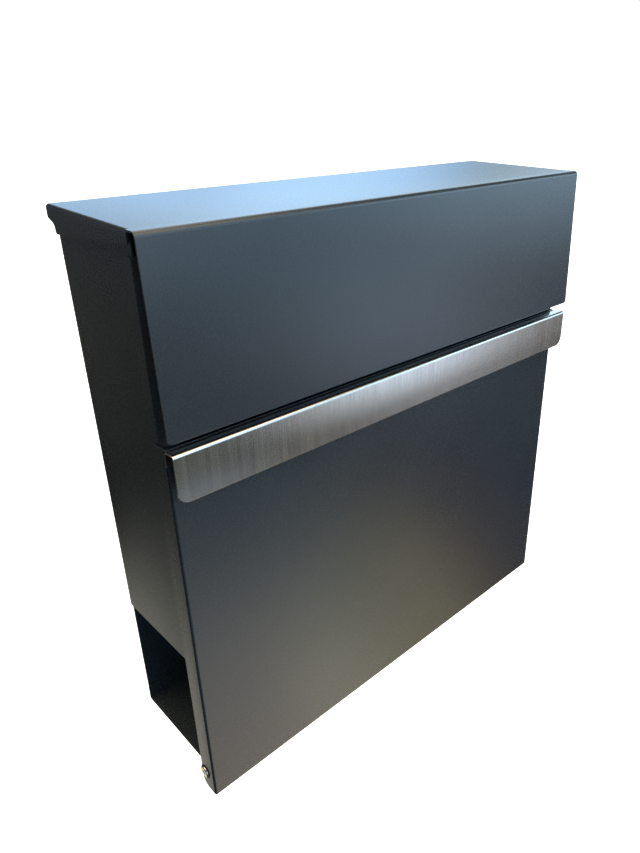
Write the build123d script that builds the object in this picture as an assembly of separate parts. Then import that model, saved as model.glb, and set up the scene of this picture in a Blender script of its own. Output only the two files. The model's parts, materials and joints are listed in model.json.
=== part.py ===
from build123d import *
import os
from math import cos, radians, sin, tan

# Wall mounted letter box with a newspaper compartment, folded from sheet metal.
# Frame: millimetres, +Z up, the front faces -Y and X is centred. The origin is the centre of the four
# wall screw holes, on the plane of the wall that the spacers stand on.
# Below, a "depth" is measured backwards from the door's front face and a "height" upwards from the
# door's bottom edge. The functions y_of and z_of turn them into the frame.

# Sheet metal
sheet = 1.0
bend = 1.5
bracket_sheet = 1.5

# Door
door_width = 366.0
door_height = 256.0
door_hinge_depth = 10.2
door_hinge_height = 13.7
door_flange_past_hinge = 4.0
door_corner = 6.0
door_side_clearance = 0.2

# Casing and its compartments
casing_front_depth = 5.5
casing_rear_depth = 89.0
casing_return = 10.0
floor_above_hinge = 4.3
slot_height = 106.5
floor_flange = 12.0
floor_lip = 10.0
corner_relief = 2.5
ear_past_hinge = 5.0
ear_corner = 3.0

# Fixed upper front panel
fascia_gap = 1.5
fascia_height = 94.0
fascia_flange = 14.6
fascia_return = 10.0
fascia_corner = 3.0

# Lid
lid_side_overhang = 2.0
lid_rear_overhang = 4.0
lid_front_overhang = 5.9
lid_rise = 19.0
roof_slope = 3.9
roof_bend = 3.0
rear_bend = 2.0
wing_bend = 2.0
rear_lip = 6.0
apron_above_door = 6.8
apron_tilt = 1.5
apron_corner = 2.5
wing_front_depth = 2.0
wing_front_drop = 13.0
wing_rear_drop = 15.2
wing_step_drop = 10.3
wing_step_inset = 5.3
wing_step_radius = 3.0
wing_corner = 2.0
wing_front_corner = 1.5
lid_gap = 1.2

# Lid hinge
hinge_inset = 7.0
hinge_drop = 10.5
rod_radius = 2.0
rod_overhang = 1.4
rod_hole_clearance = 0.1
running_clearance = 0.05
hinge_ear_inset = 12.8
hinge_ear_width = 8.0
hinge_foot_length = 20.0
hinge_foot_width = 12.0
hinge_foot_behind = 4.0
hinge_notch_side = 3.0
hinge_notch_below = 4.0
casing_top_above_hinge = 3.5
rod_washer_radius = 3.5
rod_washer_thickness = 0.6
washer_gap = 0.2

# Grip strip on the door
handle_depth = 9.0
handle_plate = 28.2
handle_leg = 9.0
handle_bend = 2.0
handle_corner = 7.0
handle_overhang = 0.7
rivet_radius = 1.6
rivet_head_radius = 2.8
rivet_head_height = 0.9
rivet_bulb_radius = 2.4
rivet_bulb_height = 2.0
rivet_count = 4
rivet_inset = 33.0
rivet_drop = 5.0

# Wall fixing
screw_side_inset = 41.8
screw_above_slot = 43.5
screw_below_hinge = 30.0
screw_hole_radius = 3.0
spacer_length = 10.0
spacer_radius = 10.0

# Door hinge screws
shoulder_radius = 2.5
thread_radius = 2.0
thread_clearance = 0.1
hinge_head_radius = 4.2
hinge_head_height = 0.9
hinge_head_round = 0.7
recess_width = 1.0
recess_length = 4.4
recess_depth = 1.0
hinge_washer_radius = 4.8
hinge_washer_thickness = 0.3
nut_flats = 7.0
nut_height = 3.2
thread_past_nut = 1.6

# Lock
lock_rise = 16.5
bezel_radius = 10.0
bezel_thickness = 2.5
bezel_round = 0.8
barrel_radius = 9.0
barrel_depth = 12.0
lock_nut_flats = 23.0
lock_nut_height = 4.0
plug_radius = 6.5
plug_recess = 0.4
plug_behind = 0.3
plug_square = 7.0
keyway_width = 2.2
keyway_length = 8.6
keyway_depth = 8.0
cam_thickness = 2.0
cam_length = 40.0
cam_width = 14.0
square_clearance = 0.1
cam_washer_radius = 5.5
cam_washer_thickness = 0.8
cam_screw_flats = 7.0
cam_screw_head = 2.8
cam_screw_length = 7.0
catch_width = 30.0
catch_height = 24.0
catch_lip = 18.0
catch_below_cam = 7.0
catch_play = 1.2

# Rubber buffers
lid_bumper_radius = 5.0
lid_bumper_inset = 22.8
lid_bumper_rise = 14.0
door_bumper_radius = 4.0
door_bumper_drop = 20.0
bumper_gap = 0.3

# Sizes that follow from the ones above
door_flange = door_hinge_depth + door_flange_past_hinge
newspaper_height = door_hinge_height + floor_above_hinge
ear_rear_depth = door_hinge_depth + ear_past_hinge
casing_width = door_width - 2 * (sheet + door_side_clearance)
casing_half = casing_width / 2
inner_half = casing_half - sheet
rear_inner_depth = casing_rear_depth - sheet
wall_depth = casing_rear_depth + spacer_length
tray_front_depth = casing_front_depth - sheet
fascia_bottom = door_height + fascia_gap
fascia_top = fascia_bottom + fascia_height
fascia_width = casing_width + 2 * sheet
lid_width = door_width + 2 * lid_side_overhang
lid_half = lid_width / 2
lid_front_depth = -lid_front_overhang
lid_rear_depth = casing_rear_depth + lid_rear_overhang
lid_rear_height = fascia_top + lid_rise
apron_bottom_height = door_height + apron_above_door
hinge_depth = casing_rear_depth - hinge_inset
hinge_height = lid_rear_height - hinge_drop
hinge_ear_offset = inner_half - hinge_ear_inset
lock_height = fascia_bottom + lock_rise
screw_spacing_x = casing_width - 2 * screw_side_inset
screw_spacing_z = hinge_height - screw_below_hinge - slot_height - screw_above_slot
screw_height = slot_height + screw_above_slot + screw_spacing_z / 2
slope = radians(roof_slope)
tilt = radians(apron_tilt)
beyond = 2 * lid_width


def y_of(depth):
    return depth - wall_depth


def z_of(height):
    return height - screw_height


def roof_height(depth):
    """Height of the roof's top face at a depth."""
    return lid_rear_height - (lid_rear_depth - depth) * tan(slope)


def roof_under(depth):
    """Height of the roof's underside at a depth."""
    return roof_height(depth) - sheet / cos(slope)


def apron_depth(height):
    """Depth of the apron's front face at a height."""
    return lid_front_depth - (roof_height(lid_front_depth) - height) * tan(tilt)


def beside(points, distance):
    """The points of a path moved to its left, with mitred corners."""
    corners = [Vector(*point) for point in points]
    lefts = [(b - a).normalized().rotate(Axis.Z, 90) for a, b in zip(corners, corners[1:])]
    moved = [corners[0] + lefts[0] * distance]
    for corner, left, next_left in zip(corners[1:], lefts, lefts[1:]):
        moved.append(corner + (left + next_left) * (distance / (1 + left.dot(next_left))))
    return moved + [corners[-1] + lefts[-1] * distance]


def folded(points, radii, thickness=sheet):
    """Section of a folded sheet whose outer faces follow the points, with the sheet on their left."""
    if not isinstance(radii, (list, tuple)):
        radii = [radii] * (len(points) - 2)
    outer = FilletPolyline(*points, radius=radii)
    inner = FilletPolyline(*beside(points, thickness), radius=[radius - thickness for radius in radii])
    return make_face(outer + Line(outer @ 1, inner @ 1) + inner + Line(inner @ 0, outer @ 0))


def side_profile(section, x_from, x_to):
    """A section drawn in depth and height, extruded from one X to another."""
    plane = Plane(origin=(x_from, y_of(0), z_of(0)), x_dir=(0, 1, 0), z_dir=(1, 0, 0))
    return extrude(plane * section, amount=x_to - x_from)


def plan_profile(section, bottom, top):
    """A section drawn in X and depth, extruded from one height to another."""
    return extrude(Pos(0, y_of(0), z_of(bottom)) * section, amount=top - bottom)


def front_profile(section, front, rear):
    """A section drawn in X and height, extruded from one depth to another."""
    plane = Plane(origin=(0, y_of(rear), z_of(0)), x_dir=(1, 0, 0), z_dir=(0, -1, 0))
    return extrude(plane * section, amount=rear - front)


def block(x_range, depth_range, height_range):
    """A box given by its X, depth and height ranges."""
    size = [high - low for low, high in (x_range, depth_range, height_range)]
    corner = (x_range[0], y_of(depth_range[0]), z_of(height_range[0]))
    return Pos(*corner) * Box(*size, align=(Align.MIN, Align.MIN, Align.MIN))


def rod_along_y(radius, front, rear, x=0.0, height=0.0):
    """A cylinder along Y between two depths."""
    disc = Pos(x, height) * Circle(radius)
    return front_profile(disc, front, rear)


def rod_along_x(radius, x_from, x_to, depth, height):
    """A cylinder along X between two X values."""
    disc = Pos(depth, height) * Circle(radius)
    return side_profile(disc, x_from, x_to)


def rivet_places():
    """X of each rivet of the grip strip, evenly spaced."""
    reach = door_width / 2 - rivet_inset
    return [reach * (2 * number / (rivet_count - 1) - 1) for number in range(rivet_count)]


def wall_screw_places():
    return [(side * screw_spacing_x / 2, screw_height + rise * screw_spacing_z / 2)
            for side in (-1, 1) for rise in (-1, 1)]


def both_sides(part):
    """A part together with its mirror image across X = 0."""
    return Part() + [part, mirror(part, about=Plane.YZ)]


def make_casing():
    plan = [
        (casing_half - casing_return, casing_front_depth),
        (casing_half, casing_front_depth),
        (casing_half, casing_rear_depth),
        (-casing_half, casing_rear_depth),
        (-casing_half, casing_front_depth),
        (-casing_half + casing_return, casing_front_depth),
    ]
    casing = plan_profile(folded(plan, bend), newspaper_height, roof_height(hinge_depth))
    casing -= block((-beyond, beyond), (0, rear_inner_depth), (0, slot_height))
    casing -= both_sides(block((inner_half, beyond), (0, wall_depth), (0, slot_height)))
    casing -= block((-inner_half, inner_half), (0, casing_front_depth + bend), (fascia_top, lid_rear_height))
    back_top = hinge_height + casing_top_above_hinge
    above = Polyline(
        (0, roof_under(0) - lid_gap),
        (hinge_depth, roof_under(hinge_depth) - lid_gap),
        (casing_rear_depth, back_top),
        (wall_depth, back_top),
        (wall_depth, lid_rear_height),
        (0, lid_rear_height),
        close=True,
    )
    casing -= side_profile(make_face(above), -beyond, beyond)
    foot_end = hinge_ear_offset - hinge_foot_width
    casing -= both_sides(block(
        (foot_end - hinge_notch_side, hinge_ear_offset + hinge_notch_side),
        (hinge_depth, wall_depth),
        (hinge_height - hinge_notch_below, lid_rear_height),
    ))
    rod_hole = rod_radius + rod_hole_clearance
    casing -= rod_along_x(rod_hole, -beyond, beyond, hinge_depth, hinge_height)
    for x, height in wall_screw_places():
        casing -= rod_along_y(screw_hole_radius, hinge_depth, wall_depth, x, height)
    return casing


def make_mail_floor():
    length = [
        (casing_front_depth, slot_height + floor_lip),
        (casing_front_depth, slot_height),
        (rear_inner_depth, slot_height),
        (rear_inner_depth, slot_height + floor_flange),
    ]
    across = [
        (-inner_half, slot_height + floor_flange),
        (-inner_half, slot_height),
        (inner_half, slot_height),
        (inner_half, slot_height + floor_flange),
    ]
    lip_half = casing_half - casing_return - corner_relief
    floor = side_profile(folded(length, bend), -lip_half, lip_half)
    front = casing_front_depth + sheet + corner_relief
    return floor + front_profile(folded(across, bend), front, rear_inner_depth - corner_relief)


def make_newspaper_tray():
    length = [
        (tray_front_depth, slot_height + floor_lip),
        (tray_front_depth, newspaper_height),
        (rear_inner_depth, newspaper_height),
        (rear_inner_depth, newspaper_height + floor_flange),
    ]
    tray = side_profile(folded(length, bend), -inner_half, inner_half)
    floor_top = newspaper_height + sheet
    ear_path = [
        (-inner_half + floor_flange, floor_top),
        (-casing_half, floor_top),
        (-casing_half, door_hinge_height - ear_past_hinge),
    ]
    ear = front_profile(folded(ear_path, bend), tray_front_depth + bend, ear_rear_depth)
    ear = fillet(ear.edges().filter_by(Axis.X).group_by(Axis.Z)[0], ear_corner)
    tray += both_sides(ear)
    hole = thread_radius + thread_clearance
    return tray - rod_along_x(hole, -beyond, beyond, door_hinge_depth, door_hinge_height)


def make_fascia():
    half = fascia_width / 2
    plan = [(-half, fascia_flange), (-half, 0), (half, 0), (half, fascia_flange)]
    panel = plan_profile(folded(plan, bend), fascia_bottom, fascia_top)
    panel = fillet(panel.edges().filter_by(Axis.X).group_by(Axis.Y)[-1], fascia_corner)
    top = [(fascia_return, fascia_top), (0, fascia_top), (0, fascia_top - fascia_return)]
    return_half = casing_half - casing_return - corner_relief
    panel -= block((-return_half, return_half), (-bend, fascia_return), (fascia_top - bend, fascia_top))
    panel += side_profile(folded(top, bend), -return_half, return_half)
    return panel - rod_along_y(barrel_radius + thread_clearance, -bend, fascia_flange, 0, lock_height)


def make_wall_spacers():
    ring = Part()
    for x, height in wall_screw_places():
        ring += rod_along_y(spacer_radius, casing_rear_depth, wall_depth, x, height)
        ring -= rod_along_y(screw_hole_radius, casing_rear_depth, wall_depth, x, height)
    return ring


def make_lid_hinge_rod():
    half = casing_half + rod_overhang
    return rod_along_x(rod_radius, -half, half, hinge_depth, hinge_height)


def make_rod_washers():
    start = casing_half + washer_gap
    end = start + rod_washer_thickness
    washer = rod_along_x(rod_washer_radius, start, end, hinge_depth, hinge_height)
    washer -= rod_along_x(rod_radius, start, end, hinge_depth, hinge_height)
    return both_sides(washer)


def wing_outline():
    """Side view of a wing, up to the roof's top face."""
    step_depth = casing_rear_depth - wing_step_inset
    corners = [
        (wing_front_depth, roof_height(wing_front_depth)),
        (wing_front_depth, lid_rear_height - wing_front_drop),
        (step_depth, lid_rear_height - wing_rear_drop),
        (step_depth, lid_rear_height - wing_step_drop),
        (lid_rear_depth, lid_rear_height - rear_lip),
        (lid_rear_depth, lid_rear_height),
    ]
    outline = make_face(Polyline(*corners, close=True))
    for place, radius in ((1, wing_front_corner), (2, wing_corner), (3, wing_step_radius), (5, rear_bend)):
        corner = Vector(*corners[place])
        vertex = min(outline.vertices(), key=lambda v: (Vector(v.X, v.Y) - corner).length)
        outline = fillet(vertex, radius)
    return outline


def make_lid_sheet():
    length = [
        (lid_rear_depth, lid_rear_height - rear_lip),
        (lid_rear_depth, lid_rear_height),
        (lid_front_depth, roof_height(lid_front_depth)),
        (apron_depth(apron_bottom_height), apron_bottom_height),
    ]
    lid = side_profile(folded(length, [rear_bend, roof_bend]), -lid_half, lid_half)
    corner_cut = block((-lid_half, lid_half), (-beyond, 0), (apron_bottom_height, roof_height(0) + sheet))
    rounded = fillet(corner_cut.edges().filter_by(Axis.Y).group_by(Axis.Z)[0], apron_corner)
    front_limit = block((-beyond, beyond), (-beyond, 0), (0, lid_rear_height))
    lid -= front_limit - rounded
    edge = lid_half - 2 * wing_bend
    lid -= both_sides(block((edge, beyond), (wing_front_depth, wall_depth), (0, lid_rear_height + sheet)))
    wing_path = [(lid_half, -2 * wing_rear_drop), (lid_half, 0), (edge, 0)]
    rear = Plane(
        origin=(0, y_of(lid_rear_depth + wing_bend), z_of(roof_height(lid_rear_depth + wing_bend))),
        x_dir=(1, 0, 0),
        z_dir=(0, -cos(slope), -sin(slope)),
    )
    wing = extrude(rear * folded(wing_path, wing_bend), amount=lid_rear_depth + wing_rear_drop)
    wing &= side_profile(wing_outline(), edge, lid_half)
    return lid + both_sides(wing)


def make_lid_hinge_ears():
    """Angle brackets under the roof, drawn square to the roof around the rod's axis."""
    reach = (roof_under(hinge_depth) - hinge_height) * cos(slope)
    plane = Plane(
        origin=(hinge_ear_offset, y_of(hinge_depth), z_of(hinge_height)),
        x_dir=(0, cos(slope), sin(slope)),
        z_dir=(1, 0, 0),
    )
    ear = Circle(hinge_ear_width / 2) + Pos(0, reach / 2) * Rectangle(hinge_ear_width, reach)
    ear -= Circle(rod_radius + running_clearance)
    foot_middle = hinge_foot_behind - hinge_foot_length / 2
    foot = Pos(foot_middle, reach - bracket_sheet / 2) * Rectangle(hinge_foot_length, bracket_sheet)
    bracket = extrude(plane * ear, amount=-bracket_sheet)
    bracket += extrude(plane * foot, amount=-hinge_foot_width)
    return both_sides(bracket)


def make_door_panel():
    half = door_width / 2
    plan = [(-half, door_flange), (-half, 0), (half, 0), (half, door_flange)]
    panel = plan_profile(folded(plan, bend), 0, door_height)
    rear_edges = panel.edges().filter_by(Axis.X).group_by(Axis.Y)[-1]
    panel = fillet(rear_edges.group_by(Axis.Z)[0], door_corner)
    rear_edges = panel.edges().filter_by(Axis.X).group_by(Axis.Y)[-1]
    panel = fillet(rear_edges.group_by(Axis.Z)[-1], ear_corner)
    hole = shoulder_radius + running_clearance
    panel -= rod_along_x(hole, -beyond, beyond, door_hinge_depth, door_hinge_height)
    for x in rivet_places():
        hole = rivet_radius + running_clearance
        panel -= rod_along_y(hole, -sheet, 2 * sheet, x, door_height - rivet_drop)
    return panel


def make_door_handle():
    path = [
        (0, door_height - handle_leg),
        (0, door_height),
        (-handle_depth, door_height),
        (-handle_depth, door_height - handle_plate),
    ]
    half = door_width / 2 + handle_overhang
    strip = side_profile(folded(path, handle_bend), -half, half)
    strip = fillet(strip.edges().filter_by(Axis.Y).group_by(Axis.Z)[0], handle_corner)
    for x in rivet_places():
        hole = rivet_radius + running_clearance
        strip -= rod_along_y(hole, -2 * sheet, sheet, x, door_height - rivet_drop)
    return strip


def make_handle_rivets():
    rivets = Part()
    for x in rivet_places():
        height = door_height - rivet_drop
        head = rod_along_y(rivet_head_radius, -sheet - rivet_head_height, -sheet, x, height)
        head = fillet(head.edges().group_by(Axis.Y)[0], rivet_head_height / 2)
        shank = rod_along_y(rivet_radius, -sheet, sheet, x, height)
        bulb = rod_along_y(rivet_bulb_radius, sheet, sheet + rivet_bulb_height, x, height)
        bulb = fillet(bulb.edges().group_by(Axis.Y)[-1], rivet_bulb_height / 2)
        rivets += head + shank + bulb
    return rivets


def cam_front_depth():
    return barrel_depth + plug_behind


def make_door_catch():
    lip_rear = cam_front_depth() + cam_thickness + catch_play + bracket_sheet
    bottom = lock_height - cam_length - catch_below_cam
    path = [
        (sheet, bottom + catch_height),
        (sheet, bottom),
        (lip_rear, bottom),
        (lip_rear, bottom + catch_lip),
    ]
    section = folded(path, bend + bracket_sheet, bracket_sheet)
    return side_profile(section, -catch_width / 2, catch_width / 2)


def make_lock_housing():
    bezel = rod_along_y(bezel_radius, -bezel_thickness, 0, 0, lock_height)
    bezel = fillet(bezel.edges().group_by(Axis.Y)[0], bezel_round)
    housing = bezel + rod_along_y(barrel_radius, 0, barrel_depth, 0, lock_height)
    bore = plug_radius + running_clearance
    return housing - rod_along_y(bore, -bezel_thickness, barrel_depth, 0, lock_height)


def hexagon(flats):
    return RegularPolygon(radius=flats / 2, side_count=6, major_radius=False)


def make_lock_nut():
    section = Pos(0, lock_height) * hexagon(lock_nut_flats)
    nut = front_profile(section, sheet, sheet + lock_nut_height)
    bore = barrel_radius + running_clearance
    return nut - rod_along_y(bore, sheet, sheet + lock_nut_height, 0, lock_height)


def make_lock_plug():
    front = plug_recess - bezel_thickness
    cam_front = cam_front_depth()
    plug = rod_along_y(plug_radius, front, cam_front, 0, lock_height)
    square = Pos(0, lock_height) * Rectangle(plug_square, plug_square)
    plug += front_profile(square, cam_front, cam_front + cam_thickness)
    keyway = Pos(0, lock_height) * Rectangle(keyway_width, keyway_length)
    plug -= front_profile(keyway, front, front + keyway_depth)
    hole = thread_radius + running_clearance
    screw_tip = cam_front + cam_thickness - cam_screw_length
    return plug - rod_along_y(hole, screw_tip, cam_front + cam_thickness, 0, lock_height)


def make_lock_cam():
    """The cam points along +X, which is the open position."""
    middle = cam_length / 2 - cam_width / 4
    outline = Circle(cam_width / 2) + Pos(middle, 0) * Rectangle(cam_length - cam_width / 2, cam_width)
    outline = fillet(outline.vertices().group_by(Axis.X)[-1], cam_width / 4)
    hole = plug_square + 2 * square_clearance
    outline -= Rectangle(hole, hole)
    front = cam_front_depth()
    return front_profile(Pos(0, lock_height) * outline, front, front + cam_thickness)


def make_lock_cam_washer():
    front = cam_front_depth() + cam_thickness
    rear = front + cam_washer_thickness
    washer = rod_along_y(cam_washer_radius, front, rear, 0, lock_height)
    return washer - rod_along_y(thread_radius + thread_clearance, front, rear, 0, lock_height)


def make_lock_cam_screw():
    front = cam_front_depth() + cam_thickness
    head_front = front + cam_washer_thickness
    head = Pos(0, lock_height) * hexagon(cam_screw_flats)
    screw = front_profile(head, head_front, head_front + cam_screw_head)
    tip = front - cam_screw_length + thread_clearance
    return screw + rod_along_y(thread_radius, tip, head_front, 0, lock_height)


def make_lid_bumpers():
    height = fascia_bottom + lid_bumper_rise
    apron_inner = apron_depth(height + lid_bumper_radius) + sheet / cos(tilt)
    x = fascia_width / 2 - lid_bumper_inset
    return both_sides(rod_along_y(lid_bumper_radius, apron_inner + bumper_gap, 0, x, height))


def make_door_bumpers():
    x = casing_half - casing_return / 2
    height = door_height - door_bumper_drop
    front = sheet + bumper_gap
    return both_sides(rod_along_y(door_bumper_radius, front, casing_front_depth, x, height))


def hinge_washer_start():
    return door_width / 2 + running_clearance


def make_door_hinge_washers():
    start = hinge_washer_start()
    end = start + hinge_washer_thickness
    washer = rod_along_x(hinge_washer_radius, start, end, door_hinge_depth, door_hinge_height)
    hole = shoulder_radius + running_clearance
    return both_sides(washer - rod_along_x(hole, start, end, door_hinge_depth, door_hinge_height))


def make_door_hinge_screws():
    head_start = hinge_washer_start() + hinge_washer_thickness
    head_end = head_start + hinge_head_height
    place = (door_hinge_depth, door_hinge_height)
    head = rod_along_x(hinge_head_radius, head_start, head_end, *place)
    head = fillet(head.edges().group_by(Axis.X)[-1], hinge_head_round)
    for width, length in ((recess_width, recess_length), (recess_length, recess_width)):
        slot = Pos(*place) * Rectangle(width, length)
        head -= side_profile(slot, head_end - recess_depth, head_end)
    shoulder = rod_along_x(shoulder_radius, casing_half, head_start, *place)
    tip = inner_half - nut_height - thread_past_nut
    return both_sides(head + shoulder + rod_along_x(thread_radius, tip, casing_half, *place))


def make_door_hinge_nuts():
    start = inner_half - nut_height
    section = Pos(door_hinge_depth, door_hinge_height) * Rot(0, 0, 30) * hexagon(nut_flats)
    nut = side_profile(section, start, inner_half)
    hole = thread_radius + thread_clearance
    nut -= rod_along_x(hole, start, inner_half, door_hinge_depth, door_hinge_height)
    return both_sides(nut)


parts = {
    "casing": make_casing,
    "mail_floor": make_mail_floor,
    "newspaper_tray": make_newspaper_tray,
    "fascia": make_fascia,
    "wall_spacers": make_wall_spacers,
    "lid_hinge_rod": make_lid_hinge_rod,
    "rod_washers": make_rod_washers,
    "lock_housing": make_lock_housing,
    "lock_nut": make_lock_nut,
    "lid_bumpers": make_lid_bumpers,
    "door_bumpers": make_door_bumpers,
    "door_hinge_screws": make_door_hinge_screws,
    "door_hinge_washers": make_door_hinge_washers,
    "door_hinge_nuts": make_door_hinge_nuts,
    "lid_sheet": make_lid_sheet,
    "lid_hinge_ears": make_lid_hinge_ears,
    "door_panel": make_door_panel,
    "door_handle": make_door_handle,
    "handle_rivets": make_handle_rivets,
    "door_catch": make_door_catch,
    "lock_plug": make_lock_plug,
    "lock_cam": make_lock_cam,
    "lock_cam_washer": make_lock_cam_washer,
    "lock_cam_screw": make_lock_cam_screw,
}

os.makedirs("parts", exist_ok=True)
for name, make in parts.items():
    export_step(make(), f"parts/{name}.step")
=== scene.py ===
import json
from math import cos, pi, radians, sin, tan

import bmesh
import bpy
from bpy.props import FloatProperty, FloatVectorProperty, IntProperty, PointerProperty
from bpy.types import Operator, Panel, PropertyGroup
from mathutils import Matrix, Vector


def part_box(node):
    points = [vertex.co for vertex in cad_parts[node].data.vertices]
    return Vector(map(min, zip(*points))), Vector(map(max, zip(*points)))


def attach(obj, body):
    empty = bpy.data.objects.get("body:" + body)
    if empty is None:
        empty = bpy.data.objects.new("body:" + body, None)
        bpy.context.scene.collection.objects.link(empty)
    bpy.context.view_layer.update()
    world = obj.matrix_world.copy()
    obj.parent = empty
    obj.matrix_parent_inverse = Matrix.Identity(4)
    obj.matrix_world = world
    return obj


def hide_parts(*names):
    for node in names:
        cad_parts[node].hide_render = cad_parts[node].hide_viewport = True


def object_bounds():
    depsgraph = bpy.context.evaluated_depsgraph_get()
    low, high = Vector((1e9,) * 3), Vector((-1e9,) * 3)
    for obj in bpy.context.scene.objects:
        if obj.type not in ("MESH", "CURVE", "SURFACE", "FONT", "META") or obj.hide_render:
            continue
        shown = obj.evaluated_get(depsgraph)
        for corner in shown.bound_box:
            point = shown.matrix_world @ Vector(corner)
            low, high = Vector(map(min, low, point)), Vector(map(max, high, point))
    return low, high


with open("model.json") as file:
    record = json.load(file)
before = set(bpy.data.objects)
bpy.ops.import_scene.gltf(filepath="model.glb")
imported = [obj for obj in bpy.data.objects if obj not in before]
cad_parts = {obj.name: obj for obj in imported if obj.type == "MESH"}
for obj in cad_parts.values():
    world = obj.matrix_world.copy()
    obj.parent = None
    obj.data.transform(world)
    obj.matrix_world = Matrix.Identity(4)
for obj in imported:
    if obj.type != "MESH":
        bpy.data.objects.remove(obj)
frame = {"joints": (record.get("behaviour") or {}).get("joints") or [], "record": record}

bl_info = {
    "name": "Wall Mailbox Pieces",
    "version": (1, 0, 0),
    "blender": (4, 5, 0),
    "location": "3D View > Sidebar > Mailbox",
    "description": "Makes the folded sheets, fittings and finishes of a wall mounted mailbox",
    "category": "Mesh",
}

CAD_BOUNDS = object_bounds()
X, Y, Z = Vector((1, 0, 0)), Vector((0, 1, 0)), Vector((0, 0, 1))
TOUCH = 1e-6
MM = 0.001


def node_box(node):
    """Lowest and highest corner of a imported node, as vectors."""
    low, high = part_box(node)
    return Vector(low), Vector(high)


def joint_place(name):
    """A point on a joint's axis."""
    return next(Vector(joint["pos_m"]) for joint in frame["joints"] if joint["name"] == name)


# ------------------------------ sizes and colours that a user may change

def length_of(name, description, default):
    """A size in metres."""
    return FloatProperty(
        name=name, description=description, default=default, unit="LENGTH", subtype="DISTANCE")


def angle_of(name, description, degrees):
    """An angle, given in degrees."""
    return FloatProperty(
        name=name, description=description, default=radians(degrees), unit="ROTATION", subtype="ANGLE")


def colour_of(name, description, default):
    """A linear colour."""
    return FloatVectorProperty(
        name=name, description=description, default=default, subtype="COLOR", size=3, min=0, max=1)


class MailboxSizes(PropertyGroup):
    """Sizes of the sheets that the frame's boxes don't give."""

    sheet: length_of("Sheet", "Thickness of the painted sheet", 1.0 * MM)
    bracket_sheet: length_of("Bracket sheet", "Thickness of the plated brackets", 1.5 * MM)
    bend: length_of("Bend", "Outer radius of most folds", 1.5 * MM)
    roof_bend: length_of("Roof bend", "Outer radius between roof and apron", 3.0 * MM)
    lid_bend: length_of("Lid bend", "Outer radius of the wings and the rear lip", 2.0 * MM)
    grip_bend: length_of("Grip bend", "Outer radius of the grip strip's folds", 2.0 * MM)
    edge_round: length_of(
        "Edge rounding", "Radius that paint and deburring leave on cut edges", 0.25 * MM)
    roof_slope: angle_of("Roof slope", "How far the roof falls to the front", 3.9)
    apron_tilt: angle_of("Apron tilt", "How far the apron leans out at its foot", 1.5)
    apron_corner: length_of("Apron corner", "Radius of the apron's lower corners", 2.5 * MM)
    door_corner: length_of("Door corner", "Radius of the door flanges' lower corners", 6.0 * MM)
    panel_side_bend: length_of(
        "Panel side bend", "Bend radius at the sides of the upper panel", 7.0 * MM)
    small_corner: length_of("Small corner", "Radius of the other flange corners", 3.0 * MM)
    grip_corner: length_of("Grip corner", "Radius of the grip strip's lower corners", 7.0 * MM)
    bend_steps: IntProperty(
        name="Bend steps", description="Faces round each fold", default=8, min=2, max=24)
    round_steps: IntProperty(
        name="Round steps", description="Faces round each turned piece", default=64, min=12, max=128)


class MailboxColours(PropertyGroup):
    """Colours of the finishes and of the light."""

    powder: colour_of("Powder coat", "Anthracite powder coat", (0.027, 0.034, 0.040))
    stainless: colour_of("Stainless", "Brushed stainless steel", (0.52, 0.50, 0.47))
    zinc: colour_of("Zinc", "Zinc plated brackets and nuts", (0.55, 0.57, 0.58))
    nickel: colour_of("Nickel", "Bright plated screws", (0.80, 0.74, 0.62))
    rubber: colour_of("Rubber", "Rubber buffers", (0.014, 0.014, 0.015))
    nylon: colour_of("Nylon", "Black nylon washers and spacers", (0.018, 0.018, 0.020))
    floor: colour_of("Floor", "Pale studio floor", (0.86, 0.86, 0.86))


class MailboxStage(PropertyGroup):
    """The camera and the floor."""

    lens: FloatProperty(
        name="Lens", description="Focal length on a 36 mm sensor", default=27.85, unit="CAMERA")
    camera_place: FloatVectorProperty(
        name="Camera", description="Where the camera stands", default=(-0.3184, -0.3765, 0.1624),
        unit="LENGTH", subtype="TRANSLATION", size=3)
    camera_heading: angle_of("Heading", "Turn from straight ahead towards the right", 40.78)
    camera_dip: angle_of("Dip", "How far the camera looks down", 24.51)
    camera_roll: angle_of("Roll", "Turn of the picture", -2.28)
    floor_drop: length_of("Floor drop", "Height of the mailbox above the floor", 0.45)


# ------------------------------ folding sheets

def chain(bm, points, closed=False):
    """Edges from point to point."""
    vert = first = bmesh.ops.create_vert(bm, co=points[0])["vert"][0]
    edges = []
    for point in points[1:]:
        made = bmesh.ops.extrude_vert_indiv(bm, verts=[vert])
        vert = made["verts"][0]
        vert.co = point
        edges += made["edges"]
    if closed:
        edges += bmesh.ops.contextual_create(bm, geom=[vert, first])["edges"]
    return edges


def ends_of(edges):
    """The vertices of some edges, each once and in a fixed order."""
    return list(dict.fromkeys(vert for edge in edges for vert in edge.verts))


def verts_in(made):
    """The vertices among the elements that an operator made."""
    return [item for item in made if isinstance(item, bmesh.types.BMVert)]


def between(verts):
    """The edges whose two ends are both among the vertices."""
    chosen = set(verts)
    return list(dict.fromkeys(
        edge for vert in verts for edge in vert.link_edges if set(edge.verts) <= chosen))


def pull(bm, edges, move):
    """Extrudes edges by a vector and gives the new ones."""
    verts = verts_in(bmesh.ops.extrude_edge_only(bm, edges=edges)["geom"])
    bmesh.ops.translate(bm, verts=verts, vec=move)
    return between(verts)


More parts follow.
